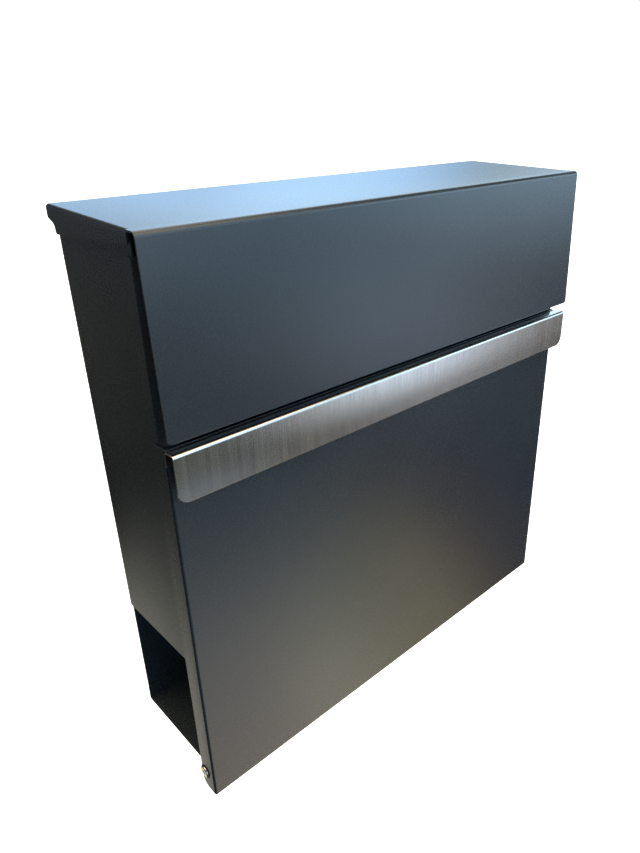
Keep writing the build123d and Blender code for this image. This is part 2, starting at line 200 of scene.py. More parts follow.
def fold(bm, edges, ahead, turn, radius, steps, angle=pi / 2):
    """Bends a sheet that runs ahead over to a new direction, and gives the edges at the bend's end."""
    centre = edges[0].verts[0].co + turn * radius
    geom = ends_of(edges) + list(edges)
    made = bmesh.ops.spin(
        bm, geom=geom, cent=centre, axis=ahead.cross(turn), angle=angle, steps=steps,
        use_merge=False, use_duplicate=False)
    return between(verts_in(made["geom_last"]))


def flange(bm, edges, ahead, turn, radius, steps, run):
    """Bends a sheet over and lets it run on, and gives its new end."""
    return pull(bm, fold(bm, edges, ahead, turn, radius, steps), turn * run)


def edges_where(edges, test):
    """Those edges whose middle passes the test."""
    return [edge for edge in edges if test((edge.verts[0].co + edge.verts[1].co) / 2)]


def set_heights(edges, height_at, top_only=False):
    """Moves the ends of edges to a height that depends on where they are."""
    verts = ends_of(edges)
    if top_only:
        verts = [max(verts, key=lambda vert: vert.co.z)]
    for vert in verts:
        vert.co.z = height_at(vert.co)


def mirrored(bm):
    """Adds the mirror image across X = 0."""
    geom = list(bm.verts) + list(bm.edges) + list(bm.faces)
    bmesh.ops.mirror(bm, geom=geom, matrix=Matrix.Identity(4), merge_dist=TOUCH, axis="X")
    bmesh.ops.remove_doubles(bm, verts=bm.verts, dist=TOUCH)
    return bm


def through_modifiers(bm, modifiers):
    """The mesh after modifiers, which are given as (type, settings)."""
    mesh = bpy.data.meshes.new("work")
    bm.to_mesh(mesh)
    bm.free()
    work = bpy.data.objects.new("work", mesh)
    bpy.context.scene.collection.objects.link(work)
    for kind, settings in modifiers:
        modifier = work.modifiers.new(kind.title(), kind)
        for key, value in settings.items():
            setattr(modifier, key, value)
    graph = bpy.context.evaluated_depsgraph_get()
    result = bmesh.new()
    result.from_mesh(work.evaluated_get(graph).to_mesh())
    bpy.data.objects.remove(work)
    bpy.data.meshes.remove(mesh)
    return result


def thicken(bm, outward, thickness):
    """Gives a folded surface its wall, on the far side of the faces that look outward."""
    bmesh.ops.recalc_face_normals(bm, faces=bm.faces)
    largest = max(bm.faces, key=lambda face: face.calc_area())
    if largest.normal.dot(outward) < 0:
        bmesh.ops.reverse_faces(bm, faces=bm.faces)
    bm = through_modifiers(bm, [("SOLIDIFY", {
        "thickness": thickness, "offset": -1, "use_even_offset": True, "use_quality_normals": True})])
    bmesh.ops.remove_doubles(bm, verts=bm.verts, dist=TOUCH)
    bmesh.ops.dissolve_limit(
        bm, angle_limit=radians(0.5), use_dissolve_boundaries=False, verts=bm.verts, edges=bm.edges)
    return bm


def round_edges(bm, edges, radius, segments, clamp=False):
    """Rounds edges with a circular arc."""
    bmesh.ops.bevel(
        bm, geom=edges, affect="EDGES", offset=radius, offset_type="OFFSET", segments=segments,
        profile=0.5, material=-1, clamp_overlap=clamp)


def round_corners(bm, corners, radius, reach=1.6 * MM, segments=8):
    """Rounds the cut corners of a sheet that lie near the given points."""
    for corner in corners:
        short = [edge for edge in bm.edges
                 if all((vert.co - Vector(corner)).length < reach for vert in edge.verts)
                 and edge.calc_length() < reach and len(edge.link_faces) == 2
                 and edge.calc_face_angle() > radians(45)]
        round_edges(bm, [edge for edge in short if is_across(edge)], radius, segments)
    return bm


def is_across(edge):
    """Whether an edge runs across the sheet, from its outer to its inner face."""
    along = (edge.verts[1].co - edge.verts[0].co).normalized()
    broad = [face for vert in edge.verts for face in vert.link_faces if edge not in face.edges]
    return bool(broad) and any(abs(face.normal.dot(along)) > cos(radians(10)) for face in broad)


def cylinder_mesh(low, high, radius, segments=48):
    """A closed cylinder between two points, as a bmesh."""
    axis = high - low
    turn = axis.to_track_quat("Z", "Y").to_matrix().to_4x4()
    bm = bmesh.new()
    bmesh.ops.create_cone(
        bm, cap_ends=True, segments=segments, radius1=radius, radius2=radius, depth=axis.length,
        matrix=Matrix.Translation((low + high) / 2) @ turn)
    return bm


def drill(place, axis, radius, reach, segments=48):
    """A cylinder that reaches to both sides of a point, to cut a hole with."""
    return cylinder_mesh(place - axis * reach, place + axis * reach, radius, segments)


def block_mesh(low, high):
    """A closed box between two corners, as a bmesh."""
    bm = bmesh.new()
    size = Vector(high) - Vector(low)
    place = Matrix.Translation((Vector(low) + Vector(high)) / 2) @ Matrix.Diagonal((*size, 1))
    bmesh.ops.create_cube(bm, size=1, matrix=place)
    return bm


def cut(bm, cutters, operation="DIFFERENCE"):
    """Takes each cutter out of the mesh."""
    for cutter in cutters:
        mesh = bpy.data.meshes.new("cutter")
        bmesh.ops.recalc_face_normals(cutter, faces=cutter.faces)
        cutter.to_mesh(mesh)
        cutter.free()
        tool = bpy.data.objects.new("cutter", mesh)
        bpy.context.scene.collection.objects.link(tool)
        bm = through_modifiers(bm, [("BOOLEAN", {
            "operation": operation, "solver": "EXACT", "object": tool})])
        bpy.data.objects.remove(tool)
        bpy.data.meshes.remove(mesh)
    return bm


def join(target, *others):
    """Adds other bmeshes to the target."""
    for other in others:
        mesh = bpy.data.meshes.new("joined")
        other.to_mesh(mesh)
        other.free()
        target.from_mesh(mesh)
        bpy.data.meshes.remove(mesh)
    return target


def turned(profile, origin, axis, steps, rounds=(), closed=False):
    """A turned piece: a profile of (radius, distance along the axis) points, spun round the axis.
    rounds is a list of (profile point, rounding radius)."""
    side = axis.orthogonal().normalized()

    def place(point):
        return origin + side * point[0] + axis * point[1]

    bm = bmesh.new()
    edges = chain(bm, [place(point) for point in profile], closed)
    bmesh.ops.spin(
        bm, geom=ends_of(edges) + edges, cent=origin, axis=axis, angle=2 * pi, steps=steps,
        use_merge=True, use_duplicate=False)
    bmesh.ops.remove_doubles(bm, verts=bm.verts, dist=TOUCH)
    bmesh.ops.recalc_face_normals(bm, faces=bm.faces)
    for index, radius in rounds:
        distance, along = profile[index]
        circle = [edge for edge in bm.edges if all(
            abs((vert.co - origin).dot(axis) - along) < TOUCH
            and abs((vert.co - origin - axis * along).length - distance) < 10 * TOUCH
            for vert in edge.verts)]
        round_edges(bm, circle, radius, 5, clamp=True)
    return bm


def ring(origin, axis, bore, rim, start, end, steps):
    """A flat ring between two distances along the axis."""
    profile = [(bore, start), (rim, start), (rim, end), (bore, end)]
    return turned(profile, origin, axis, steps, closed=True)


def hexagon_prism(centre, axis, flats, length, turn=0.0):
    """A hexagon bar that starts at centre and runs along the axis."""
    bm = bmesh.new()
    radius = flats / (2 * cos(pi / 6))
    facing = axis.to_track_quat("Z", "Y").to_matrix().to_4x4()
    place = Matrix.Translation(centre) @ facing @ Matrix.Rotation(turn, 4, "Z")
    made = bmesh.ops.create_circle(bm, cap_ends=True, segments=6, radius=radius, matrix=place)
    faces = list(dict.fromkeys(face for vert in made["verts"] for face in vert.link_faces))
    grown = bmesh.ops.extrude_face_region(bm, geom=faces)["geom"]
    bmesh.ops.translate(bm, verts=verts_in(grown), vec=axis * length)
    bmesh.ops.recalc_face_normals(bm, faces=bm.faces)
    return bm


# ------------------------------ finishes

class Finish:
    """A node material that is built step by step."""

    def __init__(self, name):
        self.material = bpy.data.materials.new("mailbox_" + name)
        self.material.use_nodes = True
        self.tree = self.material.node_tree
        self.shader = self.tree.nodes["Principled BSDF"]
        self.coordinates = self.tree.nodes.new("ShaderNodeTexCoord")

    def node(self, kind, **inputs):
        node = self.tree.nodes.new("ShaderNode" + kind)
        for key, value in inputs.items():
            node.inputs[key.replace("_", " ")].default_value = value
        return node

    def link(self, source, output, target, entry):
        self.tree.links.new(source.outputs[output], target.inputs[entry])

    def mapping(self, scale=(1, 1, 1)):
        """Object coordinates, stretched."""
        node = self.tree.nodes.new("ShaderNodeMapping")
        node.inputs["Scale"].default_value = scale
        self.link(self.coordinates, "Object", node, "Vector")
        return node

    def noise(self, scale, detail=2.0, roughness=0.5, stretch=(1, 1, 1)):
        """Noise with so many waves to the metre."""
        node = self.node("TexNoise", Scale=scale, Detail=detail, Roughness=roughness)
        self.link(self.mapping(stretch), "Vector", node, "Vector")
        return node

    def spread(self, source, output, low, high, from_low=0.3, from_high=0.7):
        """Maps a pattern to a range of values."""
        node = self.tree.nodes.new("ShaderNodeMapRange")
        limits = {"From Min": from_low, "From Max": from_high, "To Min": low, "To Max": high}
        for key, value in limits.items():
            node.inputs[key].default_value = value
        self.link(source, output, node, "Value")
        return node

    def bump(self, source, output, strength, distance, after=None):
        """Adds relief from a pattern."""
        node = self.node("Bump", Strength=strength, Distance=distance)
        self.link(source, output, node, "Height")
        if after:
            self.link(after, "Normal", node, "Normal")
        return node

    def tones(self, pattern, first, second, from_low=0.3, from_high=0.7):
        """Mixes two colours by a noise pattern."""
        mix = self.tree.nodes.new("ShaderNodeMix")
        mix.data_type = "RGBA"
        factor, *colours = [entry for entry in mix.inputs if entry.enabled]
        for entry, colour in zip(colours, (first, second)):
            entry.default_value = (*colour, 1)
        share = self.spread(pattern, "Fac", 0, 1, from_low, from_high)
        self.tree.links.new(share.outputs["Result"], factor)
        result = next(entry for entry in mix.outputs if entry.enabled)
        self.tree.links.new(result, self.shader.inputs["Base Color"])

    def rough(self, pattern, low, high):
        """Lets a noise pattern vary the roughness."""
        self.link(self.spread(pattern, "Fac", low, high), "Result", self.shader, "Roughness")

    def relief(self, node):
        """Gives the surface its bumps."""
        self.link(node, "Normal", self.shader, "Normal")


def lighter(colour, amount):
    return tuple(channel * amount for channel in colour)


def powder_coat(colour):
    """Satin powder coat: orange peel, a finer grain, and faint cloudy wipe marks."""
    finish = Finish("powder_coat")
    grain = finish.noise(2300, 2.0, 0.6)
    peel = finish.noise(700, 2.0, 0.5)
    clouds = finish.noise(11, 4.0, 0.55)
    flecks = finish.noise(1200, 2.0, 0.7)
    finish.tones(clouds, lighter(colour, 0.9), lighter(colour, 1.12))
    finish.rough(flecks, 0.23, 0.30)
    relief = finish.bump(peel, "Fac", 0.03, 0.0002)
    relief = finish.bump(grain, "Fac", 0.04, 0.0001, relief)
    finish.relief(relief)
    return finish.material


def brushed_stainless(colour):
    """Stainless sheet with fine strokes that run up and down."""
    finish = Finish("brushed_stainless")
    strokes = finish.noise(1, 2.0, 0.6, (2000, 2000, 9))
    bands = finish.noise(1, 1.0, 0.5, (420, 420, 5))
    finish.tones(strokes, lighter(colour, 0.86), lighter(colour, 1.10), 0.35, 0.65)
    finish.rough(bands, 0.20, 0.24)
    finish.relief(finish.bump(strokes, "Fac", 1.0, 0.00003))
    finish.shader.inputs["Metallic"].default_value = 1.0
    return finish.material


def plated(name, colour, rough_low, rough_high):
    """Plated steel with a faint crystalline mottle and fine handling marks."""
    finish = Finish(name)
    mottle = finish.noise(260, 3.0, 0.6)
    marks = finish.noise(1, 2.0, 0.6, (900, 900, 220))
    finish.tones(mottle, lighter(colour, 0.86), lighter(colour, 1.06))
    finish.rough(mottle, rough_low, rough_high)
    finish.relief(finish.bump(marks, "Fac", 0.08, 0.00005))
    finish.shader.inputs["Metallic"].default_value = 1.0
    return finish.material


def moulded(name, colour, rough_low, rough_high, grain_scale):
    """Moulded rubber or nylon with a fine grain."""
    finish = Finish(name)
    grain = finish.noise(grain_scale, 2.0, 0.6)
    dust = finish.noise(60, 4.0, 0.6)
    finish.tones(dust, colour, lighter(colour, 1.6))
    finish.rough(dust, rough_low, rough_high)
    finish.relief(finish.bump(grain, "Fac", 0.2, 0.00006))
    return finish.material


FINISHES = {
    "powder_coat": lambda colours: powder_coat(colours.powder),
    "brushed_stainless": lambda colours: brushed_stainless(colours.stainless),
    "zinc_steel": lambda colours: plated("zinc_steel", colours.zinc, 0.32, 0.46),
    "nickel_steel": lambda colours: plated("nickel_steel", colours.nickel, 0.16, 0.28),
    "lock_chrome": lambda colours: plated("lock_chrome", lighter(colours.zinc, 1.3), 0.10, 0.2),
    "aluminium": lambda colours: plated("aluminium", lighter(colours.zinc, 1.35), 0.30, 0.42),
    "rubber": lambda colours: moulded("rubber", colours.rubber, 0.62, 0.8, 900),
    "black_plastic": lambda colours: moulded("black_plastic", colours.nylon, 0.42, 0.55, 1500),
}


def finish_for(slot):
    """The material of a slot, made the first time that it is asked for."""
    colours = bpy.context.scene.mailbox_colours
    return bpy.data.materials.get("mailbox_" + slot) or FINISHES[slot](colours)


def place_piece(bm, name, body, slot, nodes=(), edge=None):
    """Makes the finished object, gives it its finish and lets it ride on its body."""
    mesh = bpy.data.meshes.new(name)
    bm.to_mesh(mesh)
    bm.free()
    for polygon in mesh.polygons:
        polygon.use_smooth = True
    mesh.materials.append(finish_for(slot))
    piece = bpy.data.objects.new(name, mesh)
    bpy.context.scene.collection.objects.link(piece)
    bevel = piece.modifiers.new("Edges", "BEVEL")
    bevel.width = edge or bpy.context.scene.mailbox_sizes.edge_round
    bevel.segments = 2
    bevel.limit_method = "ANGLE"
    bevel.angle_limit = radians(30)
    bevel.harden_normals = True
    bevel.use_clamp_overlap = True
    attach(piece, body)
    if nodes:
        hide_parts(*nodes)
    return piece


# ------------------------------ shared measures of the lid

class Roof:
    """The roof's top plane and the line where it meets the apron, worked out from the lid's box."""

    def __init__(self, sizes):
        self.low, self.high = node_box("lid_sheet")
        self.slope = sizes.roof_slope
        self.tilt = sizes.apron_tilt
        bend = sizes.lid_bend
        arc_top = self.high.z + bend / cos(self.slope) - bend
        self.rise = tan(self.slope)
        self.base = arc_top - (self.high.y - bend) * self.rise
        lean = tan(self.tilt)
        self.front = (self.low.y + (self.base - self.low.z) * lean) / (1 - self.rise * lean)
        self.forward = Vector((0, -cos(self.slope), -sin(self.slope)))
        self.up = Vector((0, -sin(self.slope), cos(self.slope)))
        self.down_apron = Vector((0, -sin(self.tilt), -cos(self.tilt)))

    def height(self, y):
        return self.base + y * self.rise

    def point(self, x, y):
        return Vector((x, y, self.height(y)))


# ------------------------------ the pieces

class MAILBOX_OT_casing(Operator):
    """The folded casing: back, sides with their front returns, slot, hinge notches and holes"""

    bl_idname = "mailbox.casing"
    bl_label = "Casing"

    def execute(self, context):
        sizes = context.scene.mailbox_sizes
        bend, steps = sizes.bend, sizes.bend_steps
        low, high = node_box("casing")
        slot = node_box("mail_floor")[0].z
        return_top = node_box("fascia")[1].z
        axis = joint_place("lid_hinge")
        ear_out = node_box("lid_hinge_ears")[1].x
        roof = Roof(sizes)
        foot_width, notch_side, notch_below, back_above = 12 * MM, 3 * MM, 4 * MM, 3.5 * MM
        return_width, lid_gap, rod_hole, reach = 10 * MM, 1.2 * MM, 2.1 * MM, 5 * MM
        notch = (ear_out - foot_width - notch_side, ear_out + notch_side)
        notch_foot, back_top = axis.z - notch_below, axis.z + back_above

        def side_top(place):
            return roof.height(place.y) - sizes.sheet / cos(roof.slope) - lid_gap

        bm = bmesh.new()
        across = [0, notch[0], notch[1], high.x - bend]
        row = chain(bm, [Vector((x, high.y, low.z)) for x in across])
        heights = [low.z, slot, return_top, notch_foot, back_top]
        for floor, ceiling in zip(heights, heights[1:]):
            row = pull(bm, row, Z * (ceiling - floor))
        bm.normal_update()
        gone = [face for face in bm.faces
                if notch[0] < face.calc_center_median().x < notch[1]
                and face.calc_center_median().z > notch_foot]
        bmesh.ops.delete(bm, geom=gone, context="FACES")
        flank = edges_where(bm.edges, lambda at: abs(at.x - across[-1]) < TOUCH and at.z > slot)
        flank = flange(bm, flank, X, -Y, bend, steps, high.y - bend - axis.y)
        set_heights(flank, side_top, top_only=True)
        flank = pull(bm, flank, -Y * (axis.y - low.y - bend))
        set_heights(flank, side_top, top_only=True)
        upper = edges_where(flank, lambda at: at.z > return_top)
        lower = edges_where(flank, lambda at: at.z < return_top)
        pull(bm, upper, -Y * bend)
        flange(bm, lower, -Y, -X, bend, steps, return_width - bend)
        bm = thicken(mirrored(bm), Y, sizes.sheet)
        dims = next(m["dims"] for m in frame["record"]["mounts"] if m["name"] == "wall_screws")
        holes = []
        for side in (-1, 1):
            for rise in (-1, 1):
                place = Vector((side * dims["spacing_x_mm"], 0, rise * dims["spacing_y_mm"])) * MM / 2
                place.y = high.y
                holes.append(drill(place, Y, dims["hole_r_mm"] * MM, reach))
            place = Vector((side * high.x, axis.y, axis.z))
            holes.append(drill(place, X, rod_hole, reach))
        place_piece(cut(bm, holes), "casing_shell", "box", "powder_coat", ["casing"])
        return {"FINISHED"}


class MAILBOX_OT_mail_floor(Operator):
    """The tray that closes the letter compartment"""

    bl_idname = "mailbox.mail_floor"
    bl_label = "Mail floor"

    def execute(self, context):
        sizes = context.scene.mailbox_sizes
        bend, steps = sizes.bend, sizes.bend_steps
        low, high = node_box("mail_floor")
        lip_inset, lip_height, relief = 10.5 * MM, 10 * MM, 2.5 * MM
        lip = high.x - sizes.sheet - lip_inset
        bm = bmesh.new()
        ys = [low.y + bend, low.y + sizes.sheet + relief, high.y - relief, high.y - bend]
        row = chain(bm, [Vector((x, ys[0], low.z)) for x in (0, lip)])
        start = row
        for near, far in zip(ys, ys[1:]):
            row = pull(bm, row, Y * (far - near))
        for edges, ahead, rise in ((start, -Y, lip_height), (row, Y, high.z - low.z)):
            flange(bm, edges, ahead, Z, bend, steps, rise - bend)
        side = edges_where(
            bm.edges,
            lambda at: abs(at.x - lip) < TOUCH and ys[1] < at.y < ys[2] and at.z < low.z + TOUCH)
        side = pull(bm, side, X * (high.x - bend - lip))
        flange(bm, side, X, Z, bend, steps, high.z - low.z - bend)
        bm = thicken(mirrored(bm), -Z, sizes.sheet)
        place_piece(bm, "mail_floor_tray", "box", "powder_coat", ["mail_floor"])
        return {"FINISHED"}


class MAILBOX_OT_newspaper_tray(Operator):
    """The newspaper floor with its front wall, rear flange and hinge ears"""

    bl_idname = "mailbox.newspaper_tray"
    bl_label = "Newspaper tray"

    def execute(self, context):
        sizes = context.scene.mailbox_sizes
        bend, steps = sizes.bend, sizes.bend_steps
        low, high = node_box("newspaper_tray")
        floor = node_box("casing")[0].z
        half = high.x - sizes.sheet
        rear_height, ear_past_pin = 12 * MM, 5 * MM
        bm = bmesh.new()
        row = chain(bm, [Vector((-half, low.y, high.z)), Vector((half, low.y, high.z))])
        row = pull(bm, row, -Z * (high.z - floor - bend))
        row = flange(bm, row, -Z, Y, bend, steps, high.y - low.y - 2 * bend)
        flange(bm, row, Y, Z, bend, steps, rear_height - bend)
        bm = thicken(bm, -Z, sizes.sheet)
        pin = joint_place("door_hinge")
        ears = bmesh.new()
        ear_front, ear_rear = low.y + bend, pin.y + ear_past_pin
        top = floor + sizes.sheet
        row = chain(ears, [Vector((high.x - bend, y, top)) for y in (ear_front, ear_rear)])
        flange(ears, row, X, -Z, bend, steps, top - bend - low.z)
        ears = thicken(ears, X, sizes.sheet)
        corners = [(high.x - sizes.sheet / 2, y, low.z) for y in (ear_front, ear_rear)]
        ears = mirrored(round_corners(ears, corners, sizes.small_corner))
        place_piece(join(bm, ears), "newspaper_tray_sheet", "box", "powder_coat", ["newspaper_tray"])
        return {"FINISHED"}


class MAILBOX_OT_upper_panel(Operator):
    """The fixed upper front panel behind the apron"""

    bl_idname = "mailbox.upper_panel"
    bl_label = "Upper front panel"

    def execute(self, context):
        sizes = context.scene.mailbox_sizes
        bend, steps, side_bend = sizes.bend, sizes.bend_steps, sizes.panel_side_bend
        low, high = node_box("fascia")
        lip_inset, lip_depth, lock_hole = 12.5 * MM, 10 * MM, 9.1 * MM
        lip = node_box("casing")[1].x - lip_inset
        bm = bmesh.new()
        row = chain(bm, [Vector((x, low.y, low.z)) for x in (0, lip, high.x - side_bend)])
        row = pull(bm, row, Z * (high.z - low.z - bend))
        top = edges_where(row, lambda at: at.x < lip)
        pull(bm, edges_where(row, lambda at: at.x > lip), Z * bend)
        flange(bm, top, Z, Y, bend, steps, lip_depth - bend)
        side = edges_where(bm.edges, lambda at: abs(at.x - high.x + side_bend) < TOUCH)
        flange(bm, side, X, Y, side_bend, 2 * steps, high.y - low.y - side_bend)
        bm = thicken(mirrored(bm), -Y, sizes.sheet)
        x = high.x - sizes.sheet / 2
        corners = [(side * x, high.y, z) for side in (-1, 1) for z in (low.z, high.z)]
        bm = round_corners(bm, corners, sizes.small_corner)
        lock = joint_place("lock_turn")
        lock.y = low.y
        hole = drill(lock, Y, lock_hole, 5 * MM)
        place_piece(cut(bm, [hole]), "upper_front_panel", "box", "powder_coat", ["fascia"])
        return {"FINISHED"}


class MAILBOX_OT_lid(Operator):
    """The lid: roof, apron, wings and rear lip, folded from one sheet"""

    bl_idname = "mailbox.lid"
    bl_label = "Lid"

    def execute(self, context):
        sizes = context.scene.mailbox_sizes
        steps = sizes.bend_steps
        roof = Roof(sizes)
        low, high = roof.low, roof.high
        door_front = node_box("door_panel")[0].y
        casing_rear = node_box("casing")[1].y
        bend = sizes.lid_bend
        edge = high.x - bend
        wing_inset, step_inset, lip_drop, ledge_drop = 2 * MM, 5.3 * MM, 6 * MM, 10.3 * MM
        wing_drops, notch_round, beyond = (13.0 * MM, 15.2 * MM), 1.9 * MM, 20 * MM
        wing_front = door_front + wing_inset
        step = casing_rear - step_inset
        nominal = roof.height(high.y)
        turn_front = pi / 2 - roof.tilt - roof.slope
        turn_rear = pi / 2 + roof.slope
        front_start = roof.front + sizes.roof_bend * tan(turn_front / 2) * cos(roof.slope)
        rear_start = high.y - bend * tan(turn_rear / 2) * cos(roof.slope)

        bm = bmesh.new()
        row = chain(bm, [roof.point(x, rear_start) for x in (0, edge)])
        lip = fold(bm, row, -roof.forward, -roof.up, bend, steps, turn_rear)
        drop = min(vert.co.z for vert in ends_of(lip)) - (nominal - lip_drop)
        pull(bm, lip, -Z * drop)
        row = pull(bm, row, roof.forward * ((rear_start - wing_front) / cos(roof.slope)))
        wing = edges_where(
            bm.edges, lambda at: abs(at.x - edge) < TOUCH and at.y < rear_start - MM and at.z > low.z)
        front = bmesh.new()
        strip = chain(front, [roof.point(x, wing_front) for x in (0, edge, high.x)])
        strip = pull(front, strip, roof.forward * ((wing_front - front_start) / cos(roof.slope)))
        strip = fold(front, strip, roof.forward, -roof.up, sizes.roof_bend, steps, turn_front)
        apron_top = ends_of(strip)[0].co.z
        pull(front, strip, roof.down_apron * ((apron_top - low.z) / cos(roof.tilt)))
        wing = fold(bm, wing, X, -roof.up, bend, steps)
        wing = pull(bm, wing, -Z * wing_drops[1])
        fall = [nominal - drop for drop in wing_drops]

        def wing_foot(place):
            share = (place.y - wing_front) / (step - wing_front)
            return fall[0] + (fall[1] - fall[0]) * share

        set_heights(wing, wing_foot)
        bm = mirrored(join(bm, front))
        bm = thicken(bm, -Y, sizes.sheet)
        steps_cut = []
        for side in (-1, 1):
            corner = Vector((side * high.x, step, nominal - ledge_drop))
            far = Vector((side * (edge - sizes.sheet), high.y + beyond, low.z))
            box_low = Vector(map(min, corner + X * side * beyond, far))
            box_high = Vector(map(max, corner + X * side * beyond, far))
            tool = block_mesh(box_low, box_high)
            ledge_rise = (nominal - lip_drop - corner.z) / (high.y - step)
            for vert in tool.verts:
                if vert.co.y > step + TOUCH and vert.co.z > corner.z - TOUCH:
                    vert.co.z += ledge_rise * (vert.co.y - step)
            near = [e for e in tool.edges if all(
                abs(v.co.y - step) < TOUCH and abs(v.co.z - corner.z) < TOUCH for v in e.verts)]
            round_edges(tool, near, notch_round, 8)
            steps_cut.append(tool)
        bm = cut(bm, steps_cut)
        inset = sizes.sheet / 2
        for side in (-1, 1):
            x = side * (high.x - inset)
            rear_foot = (x, step, wing_foot(Vector((0, step, 0))))
            bm = round_corners(bm, [rear_foot], sizes.small_corner * 2 / 3)
            bm = round_corners(bm, [(x, wing_front, fall[0])], sizes.bend)
            apron_foot = (side * high.x, low.y + inset, low.z)
            bm = round_corners(bm, [apron_foot], sizes.apron_corner)
        place_piece(bm, "lid_shell", "lid", "powder_coat", ["lid_sheet"])
        return {"FINISHED"}


class MAILBOX_OT_door(Operator):
    """The door panel with its side flanges"""

    bl_idname = "mailbox.door"
    bl_label = "Door"

    def execute(self, context):
        sizes = context.scene.mailbox_sizes
        bend, steps = sizes.bend, sizes.bend_steps
        low, high = node_box("door_panel")
        bm = bmesh.new()
        row = chain(bm, [Vector((x, low.y, low.z)) for x in (0, high.x - bend)])
        pull(bm, row, Z * (high.z - low.z))
        side = edges_where(bm.edges, lambda at: abs(at.x - high.x + bend) < TOUCH)
        flange(bm, side, X, Y, bend, steps, high.y - low.y - bend)
        bm = thicken(mirrored(bm), -Y, sizes.sheet)
        for side in (-1, 1):
            x = side * (high.x - sizes.sheet / 2)
            bm = round_corners(bm, [(x, high.y, low.z)], sizes.door_corner, segments=14)
            bm = round_corners(bm, [(x, high.y, high.z)], sizes.small_corner)
        place_piece(bm, "door_shell", "door", "powder_coat", ["door_panel"])
        return {"FINISHED"}


class MAILBOX_OT_grip_strip(Operator):
    """The brushed grip strip, folded over the door's top edge"""

    bl_idname = "mailbox.grip_strip"
    bl_label = "Grip strip"

    def execute(self, context):
        sizes = context.scene.mailbox_sizes
        bend, steps = sizes.grip_bend, sizes.bend_steps
        low, high = node_box("door_handle")
        leg = 9 * MM
        bm = bmesh.new()
        row = chain(bm, [Vector((x, high.y, high.z - leg)) for x in (low.x, high.x)])
        row = pull(bm, row, Z * (leg - bend))
        row = flange(bm, row, Z, -Y, bend, steps, high.y - low.y - 2 * bend)
        flange(bm, row, -Y, -Z, bend, steps, high.z - low.z - bend)
        bm = thicken(bm, -Y, sizes.sheet)
        corners = [(x, low.y + sizes.sheet / 2, low.z) for x in (low.x, high.x)]
        bm = round_corners(bm, corners, sizes.grip_corner, segments=12)
        place_piece(bm, "grip_strip", "door", "brushed_stainless", ["door_handle"])
        return {"FINISHED"}


class MAILBOX_OT_rivets(Operator):
    """The blind rivets that hold the grip strip"""

    bl_idname = "mailbox.rivets"
    bl_label = "Rivets"

    def execute(self, context):
        steps = context.scene.mailbox_sizes.round_steps // 2
        low, high = node_box("handle_rivets")
        head_radius, count = 2.8 * MM, 4
        reach = high.x - head_radius
        front = node_box("door_panel")[0].y
        centre = Vector((0, front, (low.z + high.z) / 2))
        profile = [
            (0, -1.9), (0.7, -1.9), (0.8, -1.6), (1.6, -1.75), (2.8, -1.3), (2.8, -1.0), (1.6, -1.0),
            (1.6, 1.0), (2.4, 1.0), (2.4, 2.4), (1.4, 3.0), (0, 3.0)]
        profile = [(radius * MM, along * MM) for radius, along in profile]
        rivets = bmesh.new()
        for number in range(count):
            place = centre + X * reach * (2 * number / (count - 1) - 1)
            rivets = join(rivets, turned(profile, place, Y, steps))
        place_piece(rivets, "grip_rivets", "door", "aluminium", ["handle_rivets"], edge=0.1 * MM)
        return {"FINISHED"}


class MAILBOX_OT_door_hinge(Operator):
    """Hinge screws with cross recesses, their nylon washers and nuts"""

    bl_idname = "mailbox.door_hinge"
    bl_label = "Door hinge"

    def execute(self, context):
        steps = context.scene.mailbox_sizes.round_steps
        pin = joint_place("door_hinge")
        head_end = node_box("door_hinge_screws")[1].x
        tray = node_box("newspaper_tray")[1].x
        washer_end = node_box("door_hinge_washers")[1].x
        head, shoulder, thread, tip = 4.2 * MM, 2.5 * MM, 2 * MM, 1.6 * MM
        thread_end = tray - 5.8 * MM
        screw = [
            (0, head_end), (head, head_end), (head, washer_end), (shoulder, washer_end),
            (shoulder, tray), (thread, tray), (thread, thread_end + 0.4 * MM), (tip, thread_end),
            (0, thread_end)]
        axis_start = Vector((0, pin.y, pin.z))
        bm = turned(screw, axis_start, X, steps, [(1, 0.75 * MM)])
        depth, arm, width = 1.0 * MM, 2.2 * MM, 0.5 * MM
        slots = []
        for y, z in ((arm, width), (width, arm)):
            reach = Vector((0, y, z))
            slot = block_mesh(
                axis_start + X * (head_end - depth) - reach, axis_start + X * (head_end + MM) + reach)
            foot = [v for v in slot.verts if v.co.x < head_end - depth / 2]
            shrink = Matrix.Diagonal((1, 0.55, 0.55, 1))
            bmesh.ops.transform(slot, verts=foot, matrix=shrink, space=Matrix.Translation(-axis_start))
            slots.append(slot)
        bm = mirrored_apart(cut(bm, slots))
        place_piece(bm, "hinge_screws", "box", "nickel_steel", ["door_hinge_screws"], edge=0.12 * MM)

        start, bore, rim = washer_end - 0.3 * MM, 2.55 * MM, 4.8 * MM
        bm = mirrored_apart(ring(axis_start, X, bore, rim, start, washer_end, steps))
        place_piece(bm, "hinge_washers", "box", "black_plastic", ["door_hinge_washers"], edge=0.08 * MM)

        high = node_box("door_hinge_nuts")[1]
        flats, height = 7 * MM, 3.2 * MM
        nut = hexagon_prism(axis_start + X * (high.x - height), X, flats, height)
        bore = drill(axis_start + X * high.x, X, 2.1 * MM, 9 * MM)
        bm = mirrored_apart(cut(nut, [bore]))
        place_piece(bm, "hinge_nuts", "box", "zinc_steel", ["door_hinge_nuts"], edge=0.3 * MM)
        return {"FINISHED"}


def mirrored_apart(bm):
    """A closed piece and its mirror image, both with faces that look outward."""
    bm = mirrored(bm)
    bmesh.ops.recalc_face_normals(bm, faces=bm.faces)
    return bm


